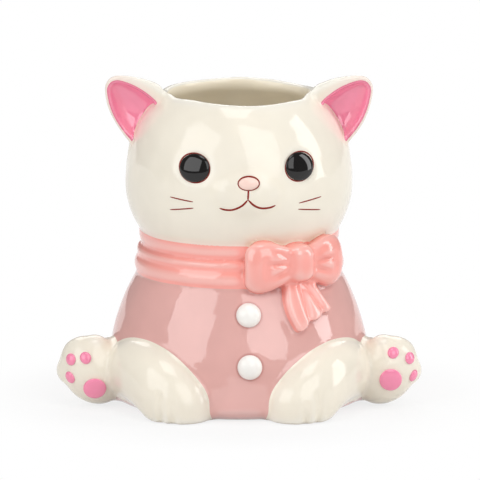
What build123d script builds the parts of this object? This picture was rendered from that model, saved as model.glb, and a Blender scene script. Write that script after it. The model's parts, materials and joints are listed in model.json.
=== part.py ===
from build123d import *

import os
from math import atan2, cos, degrees, hypot, pi, radians, sin, sqrt, tan

# Cat-shaped planter of glazed earthenware: two hollow castings, head and torso, with pressed sprigs luted on.
# Millimetres, +Z up, origin at the centre of the foot ring on the table. The cat faces -Y.
# Left and right are as seen from the front, so left is -X. An azimuth is measured from the front towards +X.

# Castings
WALL = 5.0
HEAD_Z = 90.5
HEAD_RADIUS = 46.7
HEAD_RISE = 50.8
NECK_Z = 63.5
NECK_RADIUS = 34.2
TORSO_Z = 5.0
TORSO_RADIUS = 54.3
HEM_TUCK = 6.3
HEM_ROUND = 1.2
MOUTH_RADIUS = 29.0
LIP_WIDTH = 2.3
LIP_ROUND_OUTSIDE = 2.8
LIP_ROUND_INSIDE = 1.0
FLOOR_THICKNESS = 5.0
FLOOR_ROUND = 3.5
FOOT_RING_WIDTH = 7.0
FOOT_RING_HEIGHT = 1.5
DRAIN_RADIUS = 5.0

# Face, set a little to one side of the middle, as the buttons are; heights from the widest part of the head
FACE_TURN = 4.8
MUZZLE_RISE = 3.0
MUZZLE_HALF_WIDTH = 15.0
MUZZLE_HALF_HEIGHT = 11.0
MUZZLE_HEIGHT = 1.6
MUZZLE_DEPTH = 6.0
EYE_RISE = 12.9
EYE_AZIMUTH = 28.7
EYE_HALF_WIDTH = 6.6
EYE_HALF_HEIGHT = 5.9
EYE_HALF_DEPTH = 1.8
EYE_SINK = 0.6
NOSE_RISE = 7.3
NOSE_HALF_WIDTH = 4.1
NOSE_HALF_HEIGHT = 2.6
NOSE_HALF_DEPTH = 1.7
NOSE_SINK = 0.5

# Ears: blunt arched horns that lean out, each cut flat in front and hollowed there by a more upright dish
# A horn's sides are upright below its belly and arched above it, up to the round tip
EAR_AZIMUTH = 80.0
EAR_RISE = 29.0
EAR_LEAN = 49.0
EAR_TURN_OUT = 18.0
EAR_HALF_WIDTH = 13.7
EAR_HALF_DEPTH = 9.5
EAR_LENGTH = 21.3
EAR_TIP_RADIUS = 6.0
EAR_ROOT = 10.0
EAR_BELLY = -5.0
EAR_LIP_GAP = 1.5
EAR_FRONT = 2.5
EAR_PITCH = 6.0
DISH_TURN = 7.0
DISH_SHIFT = 2.2
DISH_HALF_WIDTH = 9.7
DISH_DEPTH = 8.0
DISH_BELLY = 0.0
DISH_TIP_MARGIN = 1.4
LINING_THICKNESS = 1.2

# Scarf: heights from the neck, folds as shares of its height, ridges and grooves standing out from the neck
SCARF_ABOVE_NECK = 8.1
SCARF_BELOW_NECK = 10.8
SCARF_FOLDS = (0.39, 0.20, 0.41)
SCARF_RIDGES = (6.7, 7.8, 8.7)
SCARF_GROOVES = (4.9, 7.0)
SCARF_TUCK = 1.0

# Bow, on the scarf at one side
BOW_AZIMUTH = 33.8
BOW_BELOW_NECK = 0.4
KNOT_WIDTH = 11.5
KNOT_HEIGHT = 15.5
KNOT_PROUD = 6.5
KNOT_DEPTH = 12.0
KNOT_ROUND = 4.2
LOOP_LENGTH = 23.0
LOOP_HALF_HEIGHT = 10.6
LOOP_HALF_THICKNESS = 5.0
LOOP_PROUD = 1.5
LOOP_DROOP = 1.0
LOOP_ROLL_START = 0.66
LOOP_ROLL_RADIUS = 3.0
LOOP_ROLL_DEPTH = 0.7
PLEAT_RADIUS = 1.3
PLEAT_START = 0.18
PLEAT_FANS = ((-17.0, 12.0), (4.0, 16.0), (24.0, 11.0))

# Share of a loop's length from the knot, then of its height and thickness there
LOOP_STATIONS = (
    (-0.10, 0.50, 0.50),
    (0.15, 0.64, 0.66),
    (0.45, 0.88, 0.95),
    (0.75, 1.00, 1.00),
    (0.94, 0.84, 0.70),
    (1.00, 0.60, 0.20),
)

# The bow's loose end, drawn from the middle of the knot: a left edge, a scalloped hem and a right edge
TAIL_THICKNESS = 3.6
TAIL_ROUND = 1.0
TAIL_ROOT_LEFT = (-4.0, -5.0)
TAIL_ROOT_RIGHT = (6.0, -5.0)
TAIL_LEFT_BULGE = (-8.1, -16.5)
TAIL_HEM = ((-5.1, -27.4), (0.8, -23.1), (9.1, -20.8), (13.9, -19.2))
TAIL_SCALLOP = 1.0
TAIL_RIGHT_BEND = (9.6, -12.6)
TAIL_FOLD_RADIUS = 1.5
TAIL_FOLD_DEPTH = 0.8

# Buttons
BUTTON_RADIUS = 5.1
BUTTON_HALF_DEPTH = 4.0
BUTTON_BELOW_NECK = 20.3
BUTTON_SPACING = 20.5

# Front legs: a bent roll from the shoulder by the forearm to the paw, sagging a little in its height
# Each place is an azimuth, how far it stands out from the widest part of the torso, and a height
FRONT_LEG_RADIUS = 13.7
FRONT_LEG_SAG = 1.6
SHOULDER_PLACE = (60.1, -8.2, 16.5)
FOREARM_PLACE = (41.3, -4.4, 15.4)
PAW_PLACE = (27.5, -2.2, 6.2)
TOE_GROOVE_RADIUS = 1.4
TOE_GROOVE_DEPTH = 0.55
TOE_GROOVE_FADE = 1.4
TOE_GROOVE_SPREAD = 24.0

# Hind legs: a thigh that ends in a broad foot with its sole to the front, placed in the same way
HIND_FOOT_PLACE = (74.2, 8.1, 14.6)
HIP_PLACE = (84.0, -16.1, 13.5)
THIGH_RADIUS = 13.0
SOLE_TURN_OUT = 14.0
SOLE_TILT_DOWN = 8.0
SOLE_ROLL = 38.0
FOOT_HALF_WIDTH = 12.7
FOOT_HALF_LENGTH = 15.2
FOOT_HALF_DEPTH = 11.0
TOE_RADIUS = 6.6
TOE_REACH = 8.8
TOE_ANGLES = (-46.0, 4.0, 54.0)
PAD_HALF_DEPTH = 1.2
TOE_PAD_HALF_WIDTH = 2.3
TOE_PAD_HALF_LENGTH = 2.6
HEEL_PAD_HALF_WIDTH = 4.8
HEEL_PAD_HALF_LENGTH = 4.6

# The pads were laid on by hand, so the feet differ: how far each lies from the sole's middle, and its angle
RIGHT_TOE_SPOTS = ((10.1, -33.0), (10.9, 10.0), (10.0, 55.0))
RIGHT_HEEL_SPOT = (0.8, 190.0)
LEFT_TOE_SPOTS = ((8.2, -36.0), (9.8, 6.0), (7.2, 56.0))
LEFT_HEEL_SPOT = (5.6, 180.0)

FRONT = Vector(0, -1, 0)
UP = Vector(0, 0, 1)


class Egg:
    """An upright egg of revolution about Z: a waist radius, a height above the waist and another below it."""

    def __init__(self, waist_z, radius, rise, drop):
        self.waist_z = waist_z
        self.radius = radius
        self.rise = rise
        self.drop = drop

    def grown(self, by):
        return Egg(self.waist_z, self.radius + by, self.rise + by, self.drop + by)

    def half_height(self, z):
        return self.rise if z > self.waist_z else self.drop

    def radius_at(self, z):
        return self.radius * sqrt(1 - ((z - self.waist_z) / self.half_height(z)) ** 2)

    def top_at(self, radius):
        """The height above the waist at which the egg has narrowed to this radius."""
        return self.waist_z + self.rise * sqrt(1 - (radius / self.radius) ** 2)

    def slope_at(self, z):
        """How far the surface has turned from upright there, in radians."""
        return atan2((z - self.waist_z) / self.half_height(z) ** 2, self.radius_at(z) / self.radius**2)

    def seat(self, azimuth, z):
        """The plane that touches the egg there, facing out, with its y direction up the surface."""
        angle = radians(azimuth)
        out = Vector(sin(angle), -cos(angle), 0)
        along = Vector(cos(angle), sin(angle), 0)
        radius = self.radius_at(z)
        slope = (z - self.waist_z) / self.half_height(z) ** 2
        normal = out * (radius / self.radius**2) + UP * slope
        return Plane(origin=out * radius + UP * z, x_dir=along, z_dir=normal)

    def solid(self):
        top = above(ellipsoid(self.radius, self.radius, self.rise), 0)
        bottom = below(ellipsoid(self.radius, self.radius, self.drop), 0)
        return Pos(0, 0, self.waist_z) * (top + bottom)


def rise_to_neck(waist_z, radius):
    """The half height that brings an egg to the neck's radius at the neck's height."""
    return abs(NECK_Z - waist_z) / sqrt(1 - (NECK_RADIUS / radius) ** 2)


HEAD = Egg(HEAD_Z, HEAD_RADIUS, HEAD_RISE, rise_to_neck(HEAD_Z, HEAD_RADIUS))
TORSO = Egg(
    TORSO_Z,
    TORSO_RADIUS,
    rise_to_neck(TORSO_Z, TORSO_RADIUS),
    TORSO_Z / sqrt(1 - (1 - HEM_TUCK / TORSO_RADIUS) ** 2),
)
RIM_Z = HEAD.top_at(MOUTH_RADIUS + LIP_WIDTH)
SCARF_RADIUS = NECK_RADIUS + max(SCARF_RIDGES)
BOW_Z = NECK_Z - BOW_BELOW_NECK


def ellipsoid(half_x, half_y, half_z):
    return scale(Sphere(1), by=(half_x, half_y, half_z))


def above(shape, z):
    return split(shape, Plane.XY.offset(z), Keep.TOP)


def below(shape, z):
    return split(shape, Plane.XY.offset(z), Keep.BOTTOM)


def mirrored(shape):
    return mirror(shape, Plane.YZ)


def placed(azimuth, out, z):
    """A point at an azimuth and height, so far out from the widest part of the torso."""
    radius = TORSO_RADIUS + out
    return Vector(radius * sin(radians(azimuth)), -radius * cos(radians(azimuth)), z)


HEAD_BLOCK = below(above(HEAD.solid(), NECK_Z), RIM_Z)
TORSO_BLOCK = below(above(TORSO.solid(), 0), NECK_Z)
PAW = placed(*PAW_PLACE)
HIND_FOOT = placed(*HIND_FOOT_PLACE)


def muzzle():
    """A low swelling round the nose and mouth."""
    seat = HEAD.seat(FACE_TURN, HEAD_Z + MUZZLE_RISE)
    swelling = ellipsoid(MUZZLE_HALF_WIDTH, MUZZLE_HALF_HEIGHT, MUZZLE_DEPTH)
    return seat * Pos(0, 0, MUZZLE_HEIGHT - MUZZLE_DEPTH) * swelling


def eye(side):
    seat = HEAD.seat(FACE_TURN + side * EYE_AZIMUTH, HEAD_Z + EYE_RISE)
    return seat * Pos(0, 0, -EYE_SINK) * ellipsoid(EYE_HALF_WIDTH, EYE_HALF_HEIGHT, EYE_HALF_DEPTH)


def nose():
    seat = HEAD.seat(FACE_TURN, HEAD_Z + NOSE_RISE)
    return seat * Pos(0, 0, MUZZLE_HEIGHT - NOSE_SINK) * ellipsoid(
        NOSE_HALF_WIDTH, NOSE_HALF_HEIGHT, NOSE_HALF_DEPTH
    )


def head_shell(sockets):
    """The upper casting: open at the neck, with a round mouth cut in the crown and its lip wiped soft."""
    shell = HEAD_BLOCK + muzzle()
    shell -= HEAD.grown(-WALL).solid()
    shell -= Pos(0, 0, RIM_Z) * Cylinder(MOUTH_RADIUS, 2 * WALL + HEAD_RISE)
    lip = shell.faces().filter_by(Plane.XY).sort_by(Axis.Z)[-1]
    run = tan((pi / 2 - HEAD.slope_at(RIM_Z)) / 2)
    round_outside = min(LIP_ROUND_OUTSIDE, LIP_WIDTH / 2 / run)
    shell = fillet(lip.edges().sort_by(SortBy.LENGTH)[-1], round_outside)
    lip = shell.faces().filter_by(Plane.XY).sort_by(Axis.Z)[-1]
    flat_left = LIP_WIDTH - round_outside * run
    shell = fillet(lip.edges().sort_by(SortBy.LENGTH)[0], min(LIP_ROUND_INSIDE, 0.9 * flat_left))
    return shell - sockets


def torso_shell():
    """The lower casting: a bell with a floor, a foot ring under it and a drain hole."""
    cavity = above(TORSO.grown(-WALL).solid(), FOOT_RING_HEIGHT + FLOOR_THICKNESS)
    floor_edge = cavity.faces().filter_by(Plane.XY).sort_by(Axis.Z)[0].edges()
    cavity = fillet(floor_edge, FLOOR_ROUND)
    shell = fillet(TORSO_BLOCK.faces().filter_by(Plane.XY).sort_by(Axis.Z)[0].edges(), HEM_ROUND)
    shell -= cavity
    recess = Cylinder(TORSO_RADIUS - HEM_TUCK - FOOT_RING_WIDTH, 2 * FOOT_RING_HEIGHT)
    drain = Cylinder(DRAIN_RADIUS, 4 * (FOOT_RING_HEIGHT + FLOOR_THICKNESS))
    return shell - recess - drain


def ear_horn(half_width, half_depth, length, tip_radius, belly):
    """A flattened arch turned about +Y, with a round tip and a root that runs on below the base."""
    tip = length - tip_radius
    squares = half_width**2 - tip_radius**2
    lift = half_width**2 + 2 * belly * tip - tip**2 + tip_radius**2
    half_b = half_width * (lift / 2 - tip_radius**2)
    c = lift**2 / 4 - tip_radius**2 * (half_width**2 + belly**2)
    arch_x = (-half_b + sqrt(half_b**2 - squares * c)) / squares
    arch_radius = hypot(arch_x + half_width, belly)
    turn = degrees(atan2(tip - belly, arch_x))
    side = arch_radius - arch_x
    profile = make_face(
        [
            Polyline((0, length), (0, -EAR_ROOT), (side, -EAR_ROOT), (side, belly)),
            CenterArc((-arch_x, belly), arch_radius, 0, turn),
            CenterArc((0, tip), tip_radius, turn, 90 - turn),
        ]
    )
    return scale(revolve(profile, Axis.Y), by=(1, 1, half_depth / half_width))


def ear_stand(side):
    """The plane at the middle of an ear's base, with y along the ear and z out of its front."""
    axis = Vector(side * sin(radians(EAR_LEAN)), 0, cos(radians(EAR_LEAN)))
    facing = Vector(side * sin(radians(EAR_TURN_OUT)), -cos(radians(EAR_TURN_OUT)), 0)
    facing = facing - axis * facing.dot(axis)
    base = HEAD.seat(side * EAR_AZIMUTH, HEAD_Z + EAR_RISE).origin
    return Plane(base, x_dir=axis.cross(facing), z_dir=facing)


def ear_front(side):
    """The plane that the ear is cut to in front, which falls back towards the tip."""
    return Plane(ear_stand(side) * Pos(0, 0, EAR_FRONT) * Rot(-EAR_PITCH, 0, 0))


def ear_dish(side, inset):
    """The form that hollows the ear: a smaller horn, more upright and nearer to the outer edge."""
    dish = ear_horn(
        DISH_HALF_WIDTH - inset,
        DISH_DEPTH - inset,
        EAR_LENGTH - DISH_TIP_MARGIN - inset,
        EAR_TIP_RADIUS - DISH_TIP_MARGIN - inset,
        DISH_BELLY,
    )
    return ear_front(side) * Pos(side * DISH_SHIFT, 0, 0) * Rot(0, 0, side * DISH_TURN) * dish


def ear(side):
    """One ear and the enamel that lines its dish."""
    horn = ear_horn(EAR_HALF_WIDTH, EAR_HALF_DEPTH, EAR_LENGTH, EAR_TIP_RADIUS, EAR_BELLY)
    horn = split(ear_stand(side) * horn, ear_front(side), Keep.BOTTOM)
    horn -= Cylinder(MOUTH_RADIUS + LIP_WIDTH + EAR_LIP_GAP, 4 * RIM_Z)
    cup = ear_dish(side, 0)
    hollow = ear_dish(side, LINING_THICKNESS)
    return horn - cup - HEAD_BLOCK, (cup & horn) - hollow - HEAD_BLOCK


def scarf_band():
    """A ring of soft folds that fills the waist between head and torso."""
    top_z = NECK_Z + SCARF_ABOVE_NECK
    bottom_z = NECK_Z - SCARF_BELOW_NECK
    top = Vector(HEAD.radius_at(top_z) - SCARF_TUCK, top_z)
    bottom = Vector(TORSO.radius_at(bottom_z) - SCARF_TUCK, bottom_z)
    inner = NECK_RADIUS - SCARF_TUCK
    corners = [top]
    z = top_z
    for fold, groove in zip(SCARF_FOLDS, SCARF_GROOVES):
        z -= fold * (top_z - bottom_z)
        corners.append(Vector(NECK_RADIUS + groove, z))
    corners.append(bottom)
    folds = [
        SagittaArc(upper, lower, NECK_RADIUS + ridge - (upper.X + lower.X) / 2)
        for upper, lower, ridge in zip(corners, corners[1:], SCARF_RIDGES)
    ]
    back = Polyline(bottom, (inner, bottom_z), (inner, top_z), top)
    ring = revolve(Plane.XZ * make_face([*folds, back]), Axis.Z)
    return ring - HEAD_BLOCK - TORSO_BLOCK


def upright(azimuth, radius):
    """The upright plane at the bow's height that faces out, with its x direction along the scarf."""
    angle = radians(azimuth)
    out = Vector(sin(angle), -cos(angle), 0)
    return Plane(out * radius + UP * BOW_Z, x_dir=(cos(angle), sin(angle), 0), z_dir=out)


def bow_knot():
    knot = fillet(Box(KNOT_WIDTH, KNOT_HEIGHT, KNOT_DEPTH).edges(), KNOT_ROUND)
    return upright(BOW_AZIMUTH, SCARF_RADIUS + KNOT_PROUD - KNOT_DEPTH / 2) * knot


def bow_loop(side):
    """One loop of the bow: narrow at the knot, full towards its rolled end, with pleats that fan out."""
    span = side * degrees(LOOP_LENGTH / SCARF_RADIUS)
    sections = []
    for share, height, thickness in LOOP_STATIONS:
        face = upright(BOW_AZIMUTH + share * span, SCARF_RADIUS + LOOP_PROUD)
        across = Plane(face.origin - UP * (share * LOOP_DROOP), x_dir=face.z_dir, z_dir=face.x_dir)
        sections.append(across * Ellipse(thickness * LOOP_HALF_THICKNESS, height * LOOP_HALF_HEIGHT))
    loop = loft(sections)
    front = SCARF_RADIUS + LOOP_PROUD + LOOP_HALF_THICKNESS
    roll = upright(BOW_AZIMUTH + LOOP_ROLL_START * span, front + LOOP_ROLL_RADIUS - LOOP_ROLL_DEPTH)
    loop -= roll * Rot(90, 0, 0) * Cylinder(LOOP_ROLL_RADIUS, 4 * LOOP_HALF_HEIGHT)
    root = upright(
        BOW_AZIMUTH + PLEAT_START * span,
        SCARF_RADIUS + LOOP_PROUD + LOOP_STATIONS[1][2] * LOOP_HALF_THICKNESS,
    )
    for fan, length in PLEAT_FANS:
        lift = UP * sin(radians(fan))
        run = root.x_dir * (side * cos(radians(fan))) + lift
        pleat = ellipsoid(PLEAT_RADIUS, PLEAT_RADIUS, length)
        loop -= Plane(root.origin + lift * (KNOT_WIDTH / 2), z_dir=run) * pleat
    return loop


def bow_tail():
    """The loose end under the knot: an outline cut through the torso's skin, with soft folds to its hem."""
    scallops = [SagittaArc(a, b, -TAIL_SCALLOP) for a, b in zip(TAIL_HEM, TAIL_HEM[1:])]
    outline = make_face(
        [
            Line(TAIL_ROOT_RIGHT, TAIL_ROOT_LEFT),
            ThreePointArc(TAIL_ROOT_LEFT, TAIL_LEFT_BULGE, TAIL_HEM[0]),
            *scallops,
            ThreePointArc(TAIL_HEM[-1], TAIL_RIGHT_BEND, TAIL_ROOT_RIGHT),
        ]
    )
    skin = TORSO.grown(TAIL_THICKNESS)
    tail = extrude(upright(BOW_AZIMUTH, 0) * outline, 2 * TORSO_RADIUS) & skin.solid()
    tail = tail - TORSO_BLOCK
    outside = tail.faces().sort_by(SortBy.DISTANCE)[-1]
    tail = fillet(outside.edges(), TAIL_ROUND)
    for notch in TAIL_HEM[1:-1]:
        ends = [
            skin.seat(BOW_AZIMUTH + degrees(x / skin.radius_at(BOW_Z + y)), BOW_Z + y)
            for x, y in ((0, TAIL_ROOT_LEFT[1]), notch)
        ]
        start, end = [seat.origin + seat.z_dir * (TAIL_FOLD_RADIUS - TAIL_FOLD_DEPTH) for seat in ends]
        fold = Cylinder(TAIL_FOLD_RADIUS, (end - start).length, align=(Align.CENTER, Align.CENTER, Align.MIN))
        tail -= Plane(start, z_dir=end - start) * fold
    return tail


def button(z):
    seat = TORSO.seat(FACE_TURN, z)
    return seat * ellipsoid(BUTTON_RADIUS, BUTTON_RADIUS, BUTTON_HALF_DEPTH) - TORSO_BLOCK


def front_leg_roll():
    """The right front leg before it is cut to its seat: a sagging roll along an arc, with round ends."""
    shoulder = placed(*SHOULDER_PLACE)
    path = ThreePointArc(shoulder, placed(*FOREARM_PLACE), PAW)
    start = Plane(path @ 0, z_dir=path % 0)
    roll = sweep(start * Circle(FRONT_LEG_RADIUS), path)
    roll += Pos(shoulder) * Sphere(FRONT_LEG_RADIUS)
    roll += Pos(PAW) * Sphere(FRONT_LEG_RADIUS)
    return roll + Pos(0, 0, -FRONT_LEG_SAG) * roll


def front_leg(roll):
    """The right front leg on its seat, with grooves between the toes that fade out up the paw."""
    leg = above(roll, 0) - TORSO_BLOCK
    ring = Rot(0, 90, 0) * Torus(
        FRONT_LEG_RADIUS + TOE_GROOVE_RADIUS - TOE_GROOVE_DEPTH, TOE_GROOVE_RADIUS
    )
    heading = degrees(atan2(PAW.X, -PAW.Y))
    for spread in (-TOE_GROOVE_SPREAD / 2, TOE_GROOVE_SPREAD / 2):
        groove = Pos(PAW + UP * TOE_GROOVE_FADE) * Rot(0, 0, heading + spread) * ring
        groove = split(groove, Plane(PAW, z_dir=FRONT), Keep.TOP)
        leg -= below(groove, PAW.Z + FRONT_LEG_RADIUS / 2)
    return leg


def sole_plane():
    """The middle of the right foot, facing out of the sole, with its y direction towards the toes."""
    facing = Plane(HIND_FOOT, x_dir=(1, 0, 0), z_dir=FRONT)
    turned = facing * Rot(0, SOLE_TURN_OUT, 0) * Rot(SOLE_TILT_DOWN, 0, 0) * Rot(0, 0, -SOLE_ROLL)
    return Plane(turned)


def sole_spot(reach, angle):
    """The plane on the sole that lies so far from its middle, at an angle from the toes' direction."""
    x = reach * sin(radians(angle))
    y = reach * cos(radians(angle))
    z = FOOT_HALF_DEPTH * sqrt(1 - (x / FOOT_HALF_WIDTH) ** 2 - (y / FOOT_HALF_LENGTH) ** 2)
    normal = Vector(x / FOOT_HALF_WIDTH**2, y / FOOT_HALF_LENGTH**2, z / FOOT_HALF_DEPTH**2)
    across = Vector(1, 0, 0)
    return Plane((x, y, z), x_dir=across - normal * (across.dot(normal) / normal.dot(normal)), z_dir=normal)


def hind_leg_form():
    """The right hind leg before it is cut to its seat."""
    thigh_path = Line(placed(*HIP_PLACE), HIND_FOOT)
    thigh = sweep(Plane(thigh_path @ 0, z_dir=thigh_path % 0) * Circle(THIGH_RADIUS), thigh_path)
    foot = ellipsoid(FOOT_HALF_WIDTH, FOOT_HALF_LENGTH, FOOT_HALF_DEPTH)
    for angle in TOE_ANGLES:
        foot += Rot(0, 0, -angle) * Pos(0, TOE_REACH, 0) * Sphere(TOE_RADIUS)
    return above(thigh + sole_plane() * foot, 0)


def pads(foot, spots, half_width, half_length):
    """Low domes of enamel on the sole of the right foot."""
    form = ellipsoid(half_width, half_length, PAD_HALF_DEPTH)
    plane = sole_plane()
    return Compound(children=[plane * sole_spot(*spot) * form - foot for spot in spots])


def main():
    pieces = {}
    eyes = {"left_eye": eye(-1), "right_eye": eye(1)}
    pieces.update(eyes)
    pieces["nose"] = nose()
    pieces["head_shell"] = head_shell([*eyes.values(), pieces["nose"]])
    pieces["torso_shell"] = torso_shell()
    pieces["left_ear"], pieces["left_ear_lining"] = ear(-1)
    pieces["right_ear"], pieces["right_ear_lining"] = ear(1)
    scarf = scarf_band()
    pieces["scarf_band"] = scarf
    knot = bow_knot()
    core = [HEAD_BLOCK, TORSO_BLOCK, scarf]
    pieces["bow_knot"] = knot - core
    pieces["left_bow_loop"] = bow_loop(-1) - [*core, knot]
    pieces["right_bow_loop"] = bow_loop(1) - [*core, knot]
    pieces["bow_tail"] = bow_tail() - [*core, knot, pieces["left_bow_loop"], pieces["right_bow_loop"]]
    pieces["upper_button"] = button(NECK_Z - BUTTON_BELOW_NECK)
    pieces["lower_button"] = button(NECK_Z - BUTTON_BELOW_NECK - BUTTON_SPACING)
    roll = front_leg_roll()
    pieces["right_front_leg"] = front_leg(roll)
    hind = hind_leg_form() - TORSO_BLOCK - roll
    pieces["right_hind_leg"] = hind
    for name in ("front_leg", "hind_leg"):
        pieces["left_" + name] = mirrored(pieces["right_" + name])
    toe_size = (TOE_PAD_HALF_WIDTH, TOE_PAD_HALF_LENGTH)
    heel_size = (HEEL_PAD_HALF_WIDTH, HEEL_PAD_HALF_LENGTH)
    pieces["right_toe_pads"] = pads(hind, RIGHT_TOE_SPOTS, *toe_size)
    pieces["right_heel_pad"] = pads(hind, [RIGHT_HEEL_SPOT], *heel_size)
    pieces["left_toe_pads"] = mirrored(pads(hind, LEFT_TOE_SPOTS, *toe_size))
    pieces["left_heel_pad"] = mirrored(pads(hind, [LEFT_HEEL_SPOT], *heel_size))
    os.makedirs("parts", exist_ok=True)
    for name, piece in pieces.items():
        export_step(piece, f"parts/{name}.step")


main()
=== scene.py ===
import json
from math import cos, pi, radians, sin

import bpy
import numpy as np
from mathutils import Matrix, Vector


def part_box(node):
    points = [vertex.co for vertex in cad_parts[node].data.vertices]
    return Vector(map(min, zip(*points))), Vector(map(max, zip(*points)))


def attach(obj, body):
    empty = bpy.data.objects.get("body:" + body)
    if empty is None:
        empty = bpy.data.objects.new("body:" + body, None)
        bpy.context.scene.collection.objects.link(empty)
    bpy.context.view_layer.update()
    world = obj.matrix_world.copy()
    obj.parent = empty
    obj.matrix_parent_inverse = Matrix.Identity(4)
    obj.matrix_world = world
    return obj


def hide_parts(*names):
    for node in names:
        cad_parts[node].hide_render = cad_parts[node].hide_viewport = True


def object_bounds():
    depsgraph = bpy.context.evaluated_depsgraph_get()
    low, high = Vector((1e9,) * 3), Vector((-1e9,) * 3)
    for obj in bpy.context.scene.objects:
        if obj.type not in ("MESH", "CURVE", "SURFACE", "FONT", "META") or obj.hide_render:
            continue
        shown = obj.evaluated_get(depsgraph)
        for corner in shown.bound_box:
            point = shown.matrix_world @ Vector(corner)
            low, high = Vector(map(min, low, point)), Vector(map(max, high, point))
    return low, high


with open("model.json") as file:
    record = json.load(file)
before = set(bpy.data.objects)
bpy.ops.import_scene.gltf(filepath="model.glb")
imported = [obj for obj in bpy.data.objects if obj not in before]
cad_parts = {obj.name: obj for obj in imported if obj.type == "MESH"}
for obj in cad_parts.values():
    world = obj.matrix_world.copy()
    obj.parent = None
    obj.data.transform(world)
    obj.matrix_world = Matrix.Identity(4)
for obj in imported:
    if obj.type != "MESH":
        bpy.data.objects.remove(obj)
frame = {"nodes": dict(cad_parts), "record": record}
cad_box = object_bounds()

import openvdb as vdb
from mathutils import Vector

# Glazed kitten planter. Each large solid of the frame becomes a field of distances on one grid. The fields
# are run together with soft fillets, as glaze does, and each piece is cut out of the joined form along its
# own seam. Buttons, eyes, nose and pads are the frame's own solids, moved along with what carries them.
# Sizes are millimetres, apart from the studio's, which are metres. The face looks towards -Y.
MM_PER_METRE = 1000

# Grid: its spacing, how far from a solid the distances are known, and the margin kept round a piece
VOXEL = 0.6
REACH = 8.0
MARGIN = 3.0
# Keeps a place at the far edge of a field inside its last cell, in voxels
LAST_CELL = 1.001
# The least length by which a vector is divided
TINY = 1e-9

# Fillets, in the order in which the pieces are joined
FILLETS = {
    "head_shell": 1.0,
    "torso_shell": 1.0,
    "left_ear": 7.0,
    "right_ear": 7.0,
    "left_hind_leg": 3.0,
    "right_hind_leg": 3.0,
    "left_front_leg": 2.5,
    "right_front_leg": 2.5,
    "scarf_band": 1.6,
    "bow_tail": 1.4,
    "left_bow_loop": 1.8,
    "right_bow_loop": 1.8,
    "bow_knot": 1.8,
}
# The enamel in each ear's dish, which is joined last
LININGS = {"left_ear": "left_ear_lining", "right_ear": "right_ear_lining"}
LINING_FILLET = 1.2

# Passes of softening on single pieces before they are joined, on the joined form, and for its shading
SOFTENING = {
    "head_shell": 8,
    "left_front_leg": 3,
    "right_front_leg": 3,
    "left_hind_leg": 6,
    "right_hind_leg": 6,
    "bow_tail": 2,
    "left_bow_loop": 2,
    "right_bow_loop": 2,
    "bow_knot": 6,
}
GLAZE_SOFTENING = 2
SHADING_SOFTENING = 3

# Where two pieces meet, the one that was laid on first runs on a little under the other, which lies higher
UNDERLAP = 0.15
LIFT = 0.006

# How the points of a cut piece settle: the turns, the longest step in voxels, and the least squared slope of
# a field and the least spread of two fields' slopes that a step is worked out from
SETTLE_TURNS = 8
SETTLE_STEP = 0.5
LEAST_STEEPNESS = 0.05
LEAST_SPREAD = 0.2

# The most faces that subdivision may give a piece, and the share from which a new point counts as outside
MOST_QUADS = 60000
OUTSIDE_SHARE = 0.99
# The least cosine between a face and the smooth form that it is shaded as
SMOOTH_COSINE = 0.3

# Hand-made unevenness: slow waves over the whole form, each a height and its lengths per radian along the
# three axes. The wave along an axis is slanted towards the axis before it. Near the table they fade out.
WOBBLES = ((0.25, (9.0, 10.5, 8.0)), (0.11, (3.4, 4.1, 3.1)))
WOBBLE_SLANTS = (0.4, -0.3, 0.35)
WOBBLE_STARTS = (0.0, 1.7, 3.4)
WOBBLE_FADE_Z = 8.0
# The wavy lip: each wave's share of the height, its count round the mouth and its start
LIP_RADIUS = 31.3
LIP_WAVE = 0.35
LIP_WAVES = ((1.0, 3, 0.6), (0.6, 5, 2.0))
LIP_WAVE_DEPTH = 4.0
LIP_WAVE_WIDTH = 4.0

# Small pieces that are laid on another, and what carries them
CARRIERS = {
    "upper_button": "torso_shell",
    "lower_button": "torso_shell",
    "left_eye": "head_shell",
    "right_eye": "head_shell",
    "nose": "head_shell",
    "left_toe_pads": "left_hind_leg",
    "left_heel_pad": "left_hind_leg",
    "right_toe_pads": "right_hind_leg",
    "right_heel_pad": "right_hind_leg",
}
# Their points are welded where they agree to so many decimals, and edges past so many degrees stay sharp
WELD_DECIMALS = 4
SHARP_EDGE = 50.0

# Pieces with a darker line of glaze along others, slots whose pink is painted as reflected light on the
# glaze beside them, and hollow castings
OUTLINED_BY = {
    "torso_shell": ("upper_button", "lower_button"),
    "left_ear_lining": ("left_ear",),
    "right_ear_lining": ("right_ear",),
}
PINK_BOUNCE_SLOTS = ("scarf_glaze", "ear_enamel")
CASTINGS = ("head_shell", "torso_shell")
# Below this height, faces that look down are bare clay
BARE_FOOT_HEIGHT = 0.6

# Painted lines on the head: half a line's width, then its stops, across and up from the middle of the nose
LINES = {
    "mouth_stem": (0.40, ((-0.1, -2.4), (-0.2, -4.4), (-0.3, -6.6))),
    "mouth_left": (0.45, ((-0.3, -6.5), (-2.8, -9.1), (-6.3, -10.8), (-9.3, -11.0), (-12.0, -10.4))),
    "mouth_right": (0.45, ((-0.3, -6.5), (2.1, -8.9), (5.1, -10.3), (8.6, -10.3), (11.0, -9.5))),
    "whisker_left_upper": (0.28, ((-32.2, -7.3), (-27.4, -7.9), (-22.6, -8.4))),
    "whisker_left_lower": (0.28, ((-32.2, -12.8), (-27.3, -11.9), (-22.4, -11.0))),
    "whisker_right_upper": (0.28, ((20.4, -9.5), (25.0, -8.8), (29.7, -8.1))),
    "whisker_right_lower": (0.28, ((20.1, -12.0), (24.7, -12.8), (29.3, -13.6))),
}
# Painted rings: half a line's width, then how far outside the piece it runs
RINGS = {"left_eye": (0.30, 0.10), "right_eye": (0.30, 0.10), "nose": (0.42, 0.10)}
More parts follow.
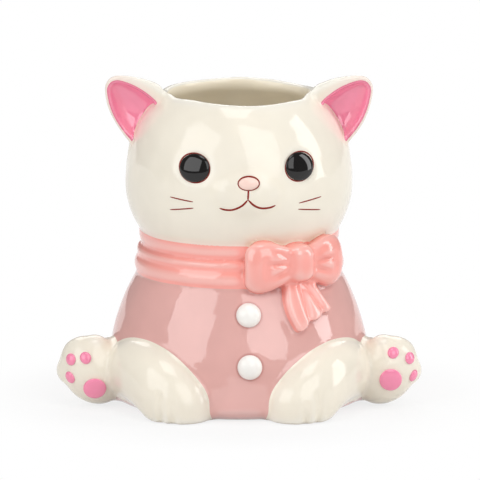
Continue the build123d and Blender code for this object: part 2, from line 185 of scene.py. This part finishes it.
# A line's height over the glaze, its depth under it, the power that shortens its tips, and their least width
LINE_HEIGHT = 0.14
LINE_ROOT = 0.35
LINE_TAPER_POWER = 6
LINE_TIP = 0.02
# Points along a line, across it and round a ring, and the steps in which they are brought onto the face
LINE_STEPS = 28
LINE_SECTION = 9
RING_STEPS = 64
FACE_STEPS = 80

# Glaze: colours are linear, and a bend is the form's turn per millimetre, above zero in a hollow
IVORY = (0.86, 0.80, 0.68)
# Colours for hollows are pooled glaze with painted shade
IVORY_POOL_AND_SHADE = (0.78, 0.66, 0.47)
# Colours for crests are painted highlights
IVORY_CREST_HIGHLIGHT = (0.88, 0.84, 0.75)
# The inside's own ivory, lightened with painted light where the casting lies in shade
IVORY_INSIDE_AND_PAINTED_LIGHT = (0.95, 0.87, 0.71)
COAT = (0.75, 0.42, 0.385)
COAT_POOL_AND_SHADE = (0.58, 0.27, 0.25)
COAT_CREST_HIGHLIGHT = (0.80, 0.54, 0.51)
SCARF = (0.94, 0.37, 0.32)
SCARF_POOL_AND_SHADE = (0.82, 0.24, 0.19)
SCARF_CREST_HIGHLIGHT = (0.95, 0.50, 0.45)
EAR_PINK = (0.92, 0.27, 0.41)
EAR_POOL_AND_SHADE = (0.70, 0.13, 0.24)
EAR_LINE = (0.76, 0.15, 0.26)
PAD_PINK = (0.92, 0.26, 0.42)
PAD_EDGE = (0.92, 0.38, 0.50)
NOSE_PINK = (0.93, 0.68, 0.60)
NOSE_EDGE = (0.88, 0.50, 0.42)
EYE_BLACK = (0.005, 0.004, 0.004)
EYE_EDGE = (0.05, 0.015, 0.01)
BUTTON_WHITE = (0.90, 0.88, 0.84)
BUTTON_EDGE = (0.84, 0.74, 0.68)
# Pink painted on the ivory beside pink pieces, as light reflected from them
PAINTED_PINK_BOUNCE = (0.92, 0.60, 0.54)
LINE_BROWN = (0.26, 0.02, 0.012)
BARE_CLAY = (0.72, 0.62, 0.50)
WHITE = (1.0, 1.0, 1.0)
# Roughness
GLOSS = 0.035
SATIN = 0.35
MATTE = 0.75
FLOOR_ROUGHNESS = 0.9
# Index of refraction
IVORY_IOR = 1.45
COAT_IOR = 1.65
SCARF_IOR = 1.68
ENAMEL_IOR = 1.50
EAR_IOR = 1.85
LINE_IOR = 1.33
# Noise: the clouds in a glaze's colour and the ripples in its surface
CLOUD_SIZE = 16.0
CLOUD_DETAIL = 2.0
CLOUD_EDGES = (0.3, 0.7)
CLOUD_LIFT = 1.05
RIPPLE_SIZE = 6.0
RIPPLE_DETAIL = 1.0
RIPPLE_STRENGTH = 0.05
# From where to where each change of colour runs
# Hollows darken as pooled glaze with painted shade
POOL_AND_SHADE_BENDS = (0.05, 0.5)
# Crests lighten as a painted highlight
CREST_HIGHLIGHT_BENDS = (-0.08, -0.45)
# Where the inside's ivory with its painted light comes in
INSIDE_COSINES = (0.0, 0.3)
BARE_COSINES = (0.6, 0.9)
# Painted reflected pink: how far from a pink piece it reaches, and its share there
PINK_BOUNCE_WIDTH = 4.0
PINK_BOUNCE_STRENGTH = 0.3
RIM_WIDTH = 1.2
THIN_ENAMEL = 0.6

# Studio, in metres: each lamp's azimuth from the front towards +X, elevation, width, height and radiance
LAMPS = {
    "softbox_left": (-50.0, 27.0, 0.85, 0.82, 2.25),
    "softbox_right": (27.0, 32.0, 0.68, 0.84, 2.2),
    "strip_right": (88.0, 22.0, 0.35, 0.90, 4.0),
    "softbox_top": (0.0, 78.0, 0.50, 0.50, 3.0),
    "softbox_back": (180.0, 40.0, 0.90, 0.60, 2.2),
}
LAMP_DISTANCE = 1.1
LAMP_AIM = (0.0, 0.0, 0.07)
SKY_STRENGTH = 0.25
FLOOR_SIZE = 40.0
FLOOR_GAP = 0.0002
FLOOR_GREY = 0.82
# Under the object this share of the floor's look is left to the lamps, and further out it fades to none
FLOOR_LIT_SHARE = 0.20
FLOOR_FADE = (0.065, 0.12)

# Camera, in millimetres and degrees, apart from the depth of its view, in metres
CAMERA_AIM = (0.41, 0.0, 65.45)
CAMERA_DISTANCE = 8000.0
CAMERA_ELEVATION = 11.0
VIEW_WIDTH = 196.8
VIEW_DEPTH = 40.0
SENSOR = 36.0

# Sockets of a mix node that carry colours
MIX_COLOURS = (6, 7)
MIX_RESULT = 2

nodes = frame["nodes"]
slot_of = {part["node"]: part["material_slot"] for part in frame["record"]["subparts"]}


def grid_low(points):
    """The grid point below each place, in voxels."""
    return np.floor(np.asarray(points) / VOXEL).astype(int)


# The box of the whole grid, in voxels
GRID_LOW = grid_low(np.array(cad_box[0]) * MM_PER_METRE - MARGIN)
GRID_HIGH = grid_low(np.array(cad_box[1]) * MM_PER_METRE + MARGIN) + 1


class Field:
    """Values on a box of the grid, read between its points as well as on them."""

    def __init__(self, low, values):
        self.low = np.asarray(low)
        self.values = values

    def cut(self, low, high):
        """The same values on a smaller box."""
        box = tuple(slice(a, b) for a, b in zip(low - self.low, high - self.low))
        return Field(low, self.values[box])

    def places(self):
        """Every grid point's place, in millimetres."""
        axes = [(np.arange(n) + a) * VOXEL for n, a in zip(self.values.shape, self.low)]
        return np.stack(np.meshgrid(*axes, indexing="ij"), axis=-1)

    def at(self, points):
        """The values at places in millimetres, each from its eight neighbours."""
        spot = np.clip(points / VOXEL - self.low, 0, np.array(self.values.shape) - LAST_CELL)
        base = spot.astype(int)
        part = spot - base
        total = 0.0
        for i in (0, 1):
            for j in (0, 1):
                for k in (0, 1):
                    share = np.abs(1 - i - part[..., 0])
                    share = share * np.abs(1 - j - part[..., 1]) * np.abs(1 - k - part[..., 2])
                    corner = self.values[base[..., 0] + i, base[..., 1] + j, base[..., 2] + k]
                    total = total + share * corner
        return total

    def changes_sign(self, points):
        """Whether the values are not all of one sign at the corners of the cells that hold the points."""
        base = np.floor(points / VOXEL).astype(int) - self.low
        base = np.clip(base, 0, np.array(self.values.shape) - 2)
        inside = 0
        for i in (0, 1):
            for j in (0, 1):
                for k in (0, 1):
                    inside = inside + (self.values[base[:, 0] + i, base[:, 1] + j, base[:, 2] + k] < 0)
        return (inside > 0) & (inside < 8)

    def slopes(self):
        return [Field(self.low, slope) for slope in np.gradient(self.values, VOXEL)]


def slope_at(slopes, points):
    return np.stack([slope.at(points) for slope in slopes], axis=-1)


def unit(vectors):
    return vectors / np.maximum(np.linalg.norm(vectors, axis=-1, keepdims=True), TINY)


def softened(values, passes):
    """Each pass averages a point with its neighbours, along one axis after another."""
    for _ in range(passes):
        for axis in range(3):
            padded = np.pad(values, [(1, 1) if a == axis else (0, 0) for a in range(3)], mode="edge")
            before, after = [
                np.take(padded, range(start, start + values.shape[axis]), axis=axis) for start in (0, 2)
            ]
            values = 0.5 * values + 0.25 * (before + after)
    return values


def soft_union(a, b, fillet):
    """Two forms as one, with a fillet along the line where they meet."""
    near = np.maximum(fillet - np.abs(a - b), 0)
    return np.minimum(a, b) - near * near / (4 * fillet)


def read_all(items, field, width, kind):
    """One field of each of a mesh's items, a row of this width for each."""
    values = np.empty(len(items) * width, kind)
    items.foreach_get(field, values)
    return values.reshape(-1, width)


def mesh_arrays(obj):
    """A solid's points in millimetres and its triangles."""
    mesh = obj.data
    mesh.calc_loop_triangles()
    points = read_all(mesh.vertices, "co", 3, np.float32)
    return points * MM_PER_METRE, read_all(mesh.loop_triangles, "vertices", 3, np.int32)


def corners_of(name):
    """The lowest and the highest corner of a solid's box, in millimetres."""
    return [np.array(corner) * MM_PER_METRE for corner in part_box(name)]


def distance_field(obj):
    points, triangles = mesh_arrays(obj)
    grid = vdb.FloatGrid.createLevelSetFromPolygons(
        points,
        triangles=triangles.astype(np.uint32),
        transform=vdb.createLinearTransform(VOXEL),
        halfWidth=REACH / VOXEL,
    )
    low = np.maximum(grid_low(points.min(0) - REACH), GRID_LOW)
    high = np.minimum(grid_low(points.max(0) + REACH) + 1, GRID_HIGH)
    values = np.empty(high - low, np.float32)
    grid.copyToArray(values, ijk=tuple(int(a) for a in low))
    return Field(low, values)


# The joined form
fields = {name: distance_field(nodes[name]) for name in [*FILLETS, *LININGS.values(), *CARRIERS]}
for name, passes in SOFTENING.items():
    fields[name].values = softened(fields[name].values, passes)
whole = Field(GRID_LOW, np.full(GRID_HIGH - GRID_LOW, REACH, np.float32))


def lay_on(name, fillet):
    """Joins a piece to the whole form."""
    field = fields[name]
    shared = whole.cut(field.low, field.low + field.values.shape).values
    shared[...] = soft_union(shared, field.values, fillet)


def ear_fillet(name, fillet):
    """Broad away from the ear's dish and close at its edge, so that the dish stays open."""
    ear = fields[name]
    lining = fields[LININGS[name]]
    gap = Field(ear.low, np.full(ear.values.shape, REACH, np.float32))
    low = np.maximum(ear.low, lining.low)
    high = np.minimum(ear.low + ear.values.shape, lining.low + lining.values.shape)
    gap.cut(low, high).values[...] = lining.cut(low, high).values
    return np.clip(gap.values, LINING_FILLET, fillet)


def unevenness():
    """How far the form is sunk at each point of the grid."""
    place = np.moveaxis(whole.places().astype(np.float32), -1, 0)
    x, y, z = place
    sunk = np.zeros(whole.values.shape, np.float32)
    for height, lengths in WOBBLES:
        waves = 1
        for axis, (length, slant, start) in enumerate(zip(lengths, WOBBLE_SLANTS, WOBBLE_STARTS)):
            waves = waves * np.sin((place[axis] + slant * place[axis - 1]) / length + start)
        sunk += height * np.clip(z / WOBBLE_FADE_Z, 0, 1) * waves
    lip_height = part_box("head_shell")[1][2] * MM_PER_METRE
    at_lip = np.clip((z - lip_height) / LIP_WAVE_DEPTH + 1, 0, 1)
    at_lip = at_lip * np.clip((LIP_RADIUS - np.hypot(x, y)) / LIP_WAVE_WIDTH + 1, 0, 1)
    around = np.arctan2(x, -y)
    lip_waves = [share * np.sin(count * around + start) for share, count, start in LIP_WAVES]
    sunk += LIP_WAVE * at_lip * sum(lip_waves)
    return Field(GRID_LOW, sunk)


for name, fillet in FILLETS.items():
    lay_on(name, ear_fillet(name, fillet) if name in LININGS else fillet)
for name in LININGS.values():
    lay_on(name, LINING_FILLET)
whole.values = softened(whole.values, GLAZE_SOFTENING)
uneven = unevenness()
whole.values += uneven.values
whole_slopes = whole.slopes()
shading = Field(GRID_LOW, softened(whole.values, SHADING_SOFTENING))


# Pieces that are cut out of the joined form
def make_mesh(name, points, faces):
    mesh = bpy.data.meshes.new(name)
    mesh.from_pydata((points / MM_PER_METRE).tolist(), [], faces)
    mesh.shade_smooth()
    obj = bpy.data.objects.new(name, mesh)
    bpy.context.scene.collection.objects.link(obj)
    return obj


def add_values(obj, name, values):
    obj.data.attributes.new(name, "FLOAT", "POINT").data.foreach_set("value", values.astype(np.float32))


claims = {name: fields[name] for name in [*FILLETS, *LININGS.values()]}
names = list(claims)


def rival_claims(name, low, high):
    """The strongest claim of any other piece; a piece laid on later claims a little less."""
    rival = Field(low, np.full(high - low, REACH, np.float32))
    for other in names:
        claim = claims[other]
        start = np.maximum(low, claim.low)
        end = np.minimum(high, claim.low + claim.values.shape)
        if other == name or (start >= end).any():
            continue
        ease = 2 * UNDERLAP if names.index(other) > names.index(name) else 0.0
        shared = rival.cut(start, end).values
        np.minimum(shared, claim.cut(start, end).values + ease, out=shared)
    return rival.values


def evened(points, edges):
    """Spaces the points of a line of edges more evenly along it."""
    total = points.copy()
    count = np.ones(len(points))
    for a, b in (edges.T, edges[:, ::-1].T):
        np.add.at(total, a, points[b])
        np.add.at(count, a, 1)
    return total / count[:, None]


def settle(points, faces, form, seam):
    """Moves each point onto the joined form, onto the seam, or onto both where they cross."""
    form_slopes = form.slopes()
    seam_slopes = seam.slopes()
    on_form = form.at(points) > seam.at(points)
    crossing = form.changes_sign(points) & seam.changes_sign(points)
    edges = np.concatenate([faces[:, [a, (a + 1) % 4]] for a in range(4)])
    edges = edges[crossing[edges].all(axis=1)]
    for turn in range(SETTLE_TURNS):
        if turn % 2 == 0:
            points = evened(points, edges)
        off_form = form.at(points)
        off_seam = seam.at(points)
        form_slope = slope_at(form_slopes, points)
        seam_slope = slope_at(seam_slopes, points)
        form_steep = np.maximum((form_slope * form_slope).sum(-1), LEAST_STEEPNESS)
        seam_steep = np.maximum((seam_slope * seam_slope).sum(-1), LEAST_STEEPNESS)
        shared = (form_slope * seam_slope).sum(-1)
        least_spread = LEAST_SPREAD * form_steep * seam_steep
        spread = np.maximum(form_steep * seam_steep - shared * shared, least_spread)
        along_form = np.where(on_form, off_form / form_steep, 0)
        along_form = np.where(crossing, (seam_steep * off_form - shared * off_seam) / spread, along_form)
        along_seam = np.where(on_form, 0, off_seam / seam_steep)
        along_seam = np.where(crossing, (form_steep * off_seam - shared * off_form) / spread, along_seam)
        step = form_slope * along_form[:, None] + seam_slope * along_seam[:, None]
        length = np.linalg.norm(step, axis=-1, keepdims=True)
        points = points - step * np.minimum(1, SETTLE_STEP * VOXEL / np.maximum(length, TINY))
    return points, on_form | crossing, crossing


def refined(points, faces, outside, crossing):
    """Subdivides a piece once, unless it is a large one; its seams' edges stay sharp."""
    obj = make_mesh("draft", points, faces.tolist())
    mesh = obj.data
    add_values(obj, "outside", outside)
    ends = read_all(mesh.edges, "vertices", 2, np.int32)
    sharp = crossing[ends].all(axis=1)
    mesh.attributes.new("crease_edge", "FLOAT", "EDGE").data.foreach_set("value", sharp.astype(np.float32))
    step = obj.modifiers.new("finer", "SUBSURF")
    step.levels = int(4 * len(faces) <= MOST_QUADS)
    finer = bpy.data.meshes.new_from_object(obj.evaluated_get(bpy.context.evaluated_depsgraph_get()))
    points = read_all(finer.vertices, "co", 3, np.float32).astype(float) * MM_PER_METRE
    faces = read_all(finer.loops, "vertex_index", 1, np.int32).reshape(-1, 4)
    shares = read_all(finer.attributes["outside"].data, "value", 1, np.float32)[:, 0]
    bpy.data.objects.remove(obj)
    bpy.data.meshes.remove(mesh)
    bpy.data.meshes.remove(finer)
    return points, faces, shares > OUTSIDE_SHARE


def set_normals(obj, points, faces, outside, normals):
    """Shades the outside as the smooth form, and the faces that are cut along a seam as flat."""
    first, second, third, fourth = [points[faces[:, corner]] for corner in range(4)]
    flat = unit(np.cross(third - first, fourth - second))
    in_line = (flat * normals[faces].mean(axis=1)).sum(-1) > SMOOTH_COSINE
    shown = outside[faces].all(axis=1) & in_line
    corners = np.where(shown[:, None, None], normals[faces], flat[:, None, :])
    obj.data.normals_split_custom_set(corners.reshape(-1, 3).tolist())


def gap_to(others, points):
    """How far each point lies from the nearest of these pieces' solids."""
    gap = np.full(len(points), REACH)
    for other in others:
        field = fields[other]
        low = field.low * VOXEL
        high = low + (np.array(field.values.shape) - 1) * VOXEL
        near = ((points >= low) & (points <= high)).all(axis=1)
        gap[near] = np.minimum(gap[near], field.at(points[near]))
    return gap


def add_surface_values(obj, name, points, normals, form):
    """What the glazes read: outlines, nearness to pink pieces for painted reflected pink, the bend for
    pooled glaze with painted shade in hollows and a painted highlight on crests, the inside of a casting and
    the bare foot.
    """
    add_values(obj, "line", gap_to(OUTLINED_BY.get(name, ()), points))
    # Nearness to the pink pieces, for the painted reflected pink
    add_values(obj, "pink_bounce", gap_to([other for other in fields if slot_of[other] in PINK_BOUNCE_SLOTS], points))
    # The bend, by which hollows get pooled glaze with painted shade and crests a painted highlight
    bend = sum(slope.slopes()[axis].at(points) for axis, slope in enumerate(form.slopes()))
    add_values(obj, "pool_and_shade", -bend)
    inward = np.zeros(len(points))
    if name in CASTINGS:
        low, high = corners_of(name)
        middle = np.array([0, 0, (low[2] + high[2]) / 2])
        inward = (unit(middle - points) * normals).sum(axis=1)
    add_values(obj, "inward", inward)
    add_values(obj, "bare", np.where(points[:, 2] < BARE_FOOT_HEIGHT, -normals[:, 2], 0))


def cut_piece(name):
    """One piece of the joined form, out to its seams with its neighbours."""
    claim = claims[name]
    points, _ = mesh_arrays(nodes[name])
    low = np.maximum(grid_low(points.min(0) - MARGIN), claim.low)
    high = np.minimum(grid_low(points.max(0) + MARGIN) + 1, claim.low + claim.values.shape)
    form = Field(low, whole.cut(low, high).values - LIFT * names.index(name))
    seam = Field(low, (claim.cut(low, high).values - rival_claims(name, low, high)) / 2)
    grid = vdb.FloatGrid(REACH)
    grid.transform = vdb.createLinearTransform(VOXEL)
    grid.copyFromArray(np.maximum(form.values, seam.values), ijk=tuple(int(a) for a in low))
    points, quads = grid.convertToQuads(0.0)
    faces = quads[:, ::-1].astype(int)
    points, outside, crossing = settle(points.astype(float), faces, form, seam)
    points, faces, outside = refined(points, faces, outside, crossing)
    points[:, 2] = np.maximum(points[:, 2], 0)
    obj = make_mesh(name + "_glaze", points, faces.tolist())

    smooth = shading.cut(low, high)
    normals = unit(slope_at(smooth.slopes(), points))
    set_normals(obj, points, faces, outside, normals)
    add_surface_values(obj, name, points, normals, smooth)
    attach(obj, "root")
    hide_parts(name)
    return obj


pieces = {name: cut_piece(name) for name in names}


# Small pieces
def sprig(name):
    """A small piece as the frame's own solid, moved along with the unevenness of what carries it."""
    points, triangles = mesh_arrays(nodes[name])
    points, welded = np.unique(np.round(points, WELD_DECIMALS), axis=0, return_inverse=True)
    faces = welded.reshape(-1)[triangles]
    faces = faces[[len(set(face)) == 3 for face in faces.tolist()]]
    out = unit(slope_at(whole_slopes, points))
    obj = make_mesh(name + "_glaze", points - out * uneven.at(points)[:, None], faces.tolist())
    obj.data.set_sharp_from_angle(angle=radians(SHARP_EDGE))
    add_values(obj, "thick", gap_to([CARRIERS[name]], points))
    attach(obj, "root")
    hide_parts(name)
    return obj


pieces.update({name: sprig(name) for name in CARRIERS})


# Painted lines
def on_face(path):
    """The points of the head's front at places across and up, straight back from the viewer."""
    points = np.array([[across, GRID_LOW[1] * VOXEL + VOXEL, up] for across, up in path])
    for _ in range(FACE_STEPS):
        points[:, 1] += np.clip(whole.at(points), -VOXEL, VOXEL)
    return points


def smooth_path(stops, steps):
    """A rounded line through the stops."""
    stops = np.array(stops, float)
    ends = np.vstack([2 * stops[0] - stops[1], stops, 2 * stops[-1] - stops[-2]])
    path = []
    for place in np.linspace(0, len(stops) - 1, steps):
        index = min(int(place), len(stops) - 2)
        t = place - index
        before, start, end, after = ends[index : index + 4]
        bend = 2 * before - 5 * start + 4 * end - after
        twist = 3 * start - before - 3 * end + after
        path.append(0.5 * (2 * start + (end - before) * t + bend * t**2 + twist * t**3))
    return np.array(path)


def painted_line(name, path, half_width, closed=False):
    """A low ridge of slip along the head, rounded across; an open one is drawn out thin at its ends."""
    line = on_face(path)
    if closed:
        along = unit(np.roll(line, -1, axis=0) - np.roll(line, 1, axis=0))
        full = np.ones(len(line))
    else:
        along = unit(np.gradient(line, axis=0))
        taper = np.abs(np.linspace(-1, 1, len(line))) ** LINE_TAPER_POWER
        full = np.sqrt(np.clip(1 - taper, LINE_TIP, 1))
    out = unit(slope_at(whole_slopes, line))
    side = unit(np.cross(out, along))
    rows = []
    for angle in np.linspace(0, 2 * pi, LINE_SECTION, endpoint=False):
        lift = (LINE_HEIGHT if sin(angle) > 0 else LINE_ROOT) * sin(angle)
        rows.append(line + side * (half_width * cos(angle) * full)[:, None] + out * (lift * full)[:, None])
    points = np.stack(rows, axis=1).reshape(-1, 3)
    ring = list(range(LINE_SECTION))
    starts = list(range(0, len(points), LINE_SECTION))
    nexts = starts[1:] + starts[:1] if closed else starts[1:]
    faces = []
    for a, b in zip(starts, nexts):
        faces += [[a + j, a + k, b + k, b + j] for j, k in zip(ring, ring[1:] + ring[:1])]
    if not closed:
        faces += [ring[::-1], [starts[-1] + j for j in ring]]
    obj = make_mesh(name, points, faces)
    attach(obj, "root")
    return obj


def middle_and_half(name):
    """The middle of a solid's box and half of its size, across and up."""
    low, high = corners_of(name)
    return ((low + high) / 2)[[0, 2]], ((high - low) / 2)[[0, 2]]


lines = []
nose_middle, _ = middle_and_half("nose")
for name, (half_width, stops) in LINES.items():
    path = smooth_path(np.array(stops) + nose_middle, LINE_STEPS)
    lines.append(painted_line(name, path, half_width))
turns = np.linspace(0, 2 * pi, RING_STEPS, endpoint=False)
circle = np.stack([np.cos(turns), np.sin(turns)], axis=1)
for name, (half_width, outside) in RINGS.items():
    middle, half = middle_and_half(name)
    path = middle + circle * (half + outside)
    lines.append(painted_line(name + "_outline", path, half_width, closed=True))


# Glazes
def new_material(name, roughness):
    material = bpy.data.materials.new(name)
    material.use_nodes = True
    shader = material.node_tree.nodes["Principled BSDF"]
    shader.inputs["Roughness"].default_value = roughness
    return material, shader


def node(material, kind, **inputs):
    """A new node; an input's name has low lines for its spaces."""
    made = material.node_tree.nodes.new(kind)
    for socket, value in inputs.items():
        made.inputs[socket.replace("_", " ")].default_value = value
    return made


def link(material, source, target):
    material.node_tree.links.new(source, target)


def mix(material, factor, a, b):
    """A colour between a and b; each is a socket or a plain colour."""
    made = node(material, "ShaderNodeMix")
    made.data_type = "RGBA"
    link(material, factor, made.inputs["Factor"])
    for index, colour in zip(MIX_COLOURS, (a, b)):
        if isinstance(colour, tuple):
            made.inputs[index].default_value = (*colour, 1)
        else:
            link(material, colour, made.inputs[index])
    return made.outputs[MIX_RESULT]


def ramp(material, source, low, high, bottom=0.0, top=1.0):
    """Bottom at low, top at high, smooth between them and level beyond; low may be the larger."""
    if low > high:
        low, high, bottom, top = high, low, top, bottom
    made = node(material, "ShaderNodeMapRange", From_Min=low, From_Max=high, To_Min=bottom, To_Max=top)
    made.interpolation_type = "SMOOTHSTEP"
    link(material, source, made.inputs["Value"])
    return made.outputs["Result"]


def combined(material, operation, a, b):
    """The result of an operation on two sockets."""
    made = node(material, "ShaderNodeMath")
    made.operation = operation
    link(material, a, made.inputs[0])
    link(material, b, made.inputs[1])
    return made.outputs[0]


def attribute(material, name):
    made = node(material, "ShaderNodeAttribute")
    made.attribute_name = name
    return made.outputs["Fac"]


def object_place(material):
    return node(material, "ShaderNodeTexCoord").outputs["Object"]


def noise(material, size, detail):
    made = node(material, "ShaderNodeTexNoise", Scale=MM_PER_METRE / size, Detail=detail)
    link(material, object_place(material), made.inputs["Vector"])
    return made.outputs["Fac"]


def glaze(
    name, colour, ior, pool_and_shade=None, crest_highlight=None, pink_bounce=None, inside=None, rim=None, thin=None, roughness=GLOSS
):
    """A cloudy glaze, darker in hollows as pooled glaze with painted shade, paler on crests as a painted
    highlight, and wiped off the foot.
    """
    material, shader = new_material(name, roughness)
    shader.inputs["IOR"].default_value = ior
    lifted = tuple(min(1, CLOUD_LIFT * channel) for channel in colour)
    clouds = ramp(material, noise(material, CLOUD_SIZE, CLOUD_DETAIL), *CLOUD_EDGES)
    shade = mix(material, clouds, colour, lifted)
    bend = attribute(material, "pool_and_shade")
    # Darker in hollows: pooled glaze with painted shade
    if pool_and_shade:
        shade = mix(material, ramp(material, bend, *POOL_AND_SHADE_BENDS), shade, pool_and_shade)
    # Paler on crests: a painted highlight
    if crest_highlight:
        shade = mix(material, ramp(material, bend, *CREST_HIGHLIGHT_BENDS), shade, crest_highlight)
    # Painted reflected pink beside the scarf and the ears
    if pink_bounce:
        pink_bounce_mask = ramp(material, attribute(material, "pink_bounce"), PINK_BOUNCE_WIDTH, 0.0, top=PINK_BOUNCE_STRENGTH)
        shade = mix(material, pink_bounce_mask, shade, pink_bounce)
    # Inside a casting: its own ivory, lightened with painted light
    if inside:
        shade = mix(material, ramp(material, attribute(material, "inward"), *INSIDE_COSINES), shade, inside)
    if rim:
        shade = mix(material, ramp(material, attribute(material, "line"), RIM_WIDTH, 0.0), shade, rim)
    if thin:
        shade = mix(material, ramp(material, attribute(material, "thick"), THIN_ENAMEL, 0.0), shade, thin)
    bare = attribute(material, "bare")
    shade = mix(material, ramp(material, bare, *BARE_COSINES), shade, BARE_CLAY)
    link(material, shade, shader.inputs["Base Color"])
    rough = ramp(material, bare, *BARE_COSINES, bottom=roughness, top=MATTE)
    link(material, rough, shader.inputs["Roughness"])
    bump = node(material, "ShaderNodeBump", Strength=RIPPLE_STRENGTH, Distance=1 / MM_PER_METRE)
    link(material, noise(material, RIPPLE_SIZE, RIPPLE_DETAIL), bump.inputs["Height"])
    link(material, bump.outputs["Normal"], shader.inputs["Normal"])
    return material


GLAZES = {
    "ivory_glaze": dict(
        colour=IVORY, ior=IVORY_IOR, pool_and_shade=IVORY_POOL_AND_SHADE, crest_highlight=IVORY_CREST_HIGHLIGHT, pink_bounce=PAINTED_PINK_BOUNCE, inside=IVORY_INSIDE_AND_PAINTED_LIGHT
    ),
    "coat_glaze": dict(
        colour=COAT, ior=COAT_IOR, pool_and_shade=COAT_POOL_AND_SHADE, crest_highlight=COAT_CREST_HIGHLIGHT, inside=IVORY_INSIDE_AND_PAINTED_LIGHT, rim=COAT_POOL_AND_SHADE
    ),
    "scarf_glaze": dict(colour=SCARF, ior=SCARF_IOR, pool_and_shade=SCARF_POOL_AND_SHADE, crest_highlight=SCARF_CREST_HIGHLIGHT),
    "ear_enamel": dict(colour=EAR_PINK, ior=EAR_IOR, pool_and_shade=EAR_POOL_AND_SHADE, rim=EAR_LINE),
    "pad_enamel": dict(colour=PAD_PINK, ior=SCARF_IOR, thin=PAD_EDGE),
    "nose_enamel": dict(colour=NOSE_PINK, ior=ENAMEL_IOR, thin=NOSE_EDGE),
    "eye_enamel": dict(colour=EYE_BLACK, ior=ENAMEL_IOR, thin=EYE_EDGE),
    "button_glaze": dict(colour=BUTTON_WHITE, ior=IVORY_IOR, thin=BUTTON_EDGE),
}
materials = {name: glaze(name, **values) for name, values in GLAZES.items()}
line_material = glaze("line_paint", LINE_BROWN, LINE_IOR, roughness=SATIN)
for name, obj in pieces.items():
    obj.data.materials.append(materials[slot_of[name]])
for obj in lines:
    obj.data.materials.append(line_material)


# Studio
def shows_background(material):
    """1 for a ray from the camera, in a reflection or through glass, and 0 for a ray of light."""
    path = node(material, "ShaderNodeLightPath").outputs
    seen = path["Is Camera Ray"]
    for kind in ("Is Glossy Ray", "Is Transmission Ray"):
        seen = combined(material, "MAXIMUM", seen, path[kind])
    return seen


def white_surface(name):
    """White to the camera and in reflections, with some of its light left to the lamps under the object."""
    material, shader = new_material(name, FLOOR_ROUGHNESS)
    shader.inputs["Base Color"].default_value = (FLOOR_GREY, FLOOR_GREY, FLOOR_GREY, 1)
    shader.inputs["Specular IOR Level"].default_value = 0.0
    distance = node(material, "ShaderNodeVectorMath")
    distance.operation = "LENGTH"
    link(material, object_place(material), distance.inputs[0])
    white = ramp(material, distance.outputs["Value"], *FLOOR_FADE, bottom=1 - FLOOR_LIT_SHARE)
    share = combined(material, "MULTIPLY", shows_background(material), white)
    shine = node(material, "ShaderNodeEmission", Color=(*WHITE, 1), Strength=1.0)
    blend = node(material, "ShaderNodeMixShader")
    for index, source in enumerate((share, shader.outputs[0], shine.outputs[0])):
        link(material, source, blend.inputs[index])
    link(material, blend.outputs[0], material.node_tree.nodes["Material Output"].inputs["Surface"])
    return material


bpy.ops.mesh.primitive_plane_add(size=FLOOR_SIZE)
floor = bpy.context.object
floor.location.z = -FLOOR_GAP
floor.name = "floor"
floor.data.materials.append(white_surface("floor_white"))

world = bpy.data.worlds.new("studio")
bpy.context.scene.world = world
world.use_nodes = True
background = world.node_tree.nodes["Background"]
background.inputs["Color"].default_value = (*WHITE, 1)
background.inputs["Strength"].default_value = SKY_STRENGTH


def direction(azimuth, elevation):
    """The way out from the object, with the azimuth measured from the front towards +X."""
    level = cos(radians(elevation))
    return Vector((sin(radians(azimuth)) * level, -cos(radians(azimuth)) * level, sin(radians(elevation))))


def softbox(name, azimuth, elevation, width, height, radiance):
    lamp = bpy.data.lights.new(name, "AREA")
    lamp.shape = "RECTANGLE"
    lamp.size = width
    lamp.size_y = height
    lamp.energy = radiance * pi * width * height
    obj = bpy.data.objects.new(name, lamp)
    out = direction(azimuth, elevation)
    obj.location = Vector(LAMP_AIM) + out * LAMP_DISTANCE
    obj.rotation_euler = (-out).to_track_quat("-Z", "Y").to_euler()
    bpy.context.scene.collection.objects.link(obj)


for name, values in LAMPS.items():
    softbox(name, *values)

lens = bpy.data.cameras.new("camera")
lens.sensor_width = SENSOR
lens.lens = SENSOR * CAMERA_DISTANCE / VIEW_WIDTH
lens.clip_end = VIEW_DEPTH
camera = bpy.data.objects.new("camera", lens)
back = direction(0, CAMERA_ELEVATION)
camera.location = (Vector(CAMERA_AIM) + back * CAMERA_DISTANCE) / MM_PER_METRE
camera.rotation_euler = (-back).to_track_quat("-Z", "Y").to_euler()
bpy.context.scene.collection.objects.link(camera)
bpy.context.scene.camera = camera
bpy.context.scene.view_settings.view_transform = "Standard"
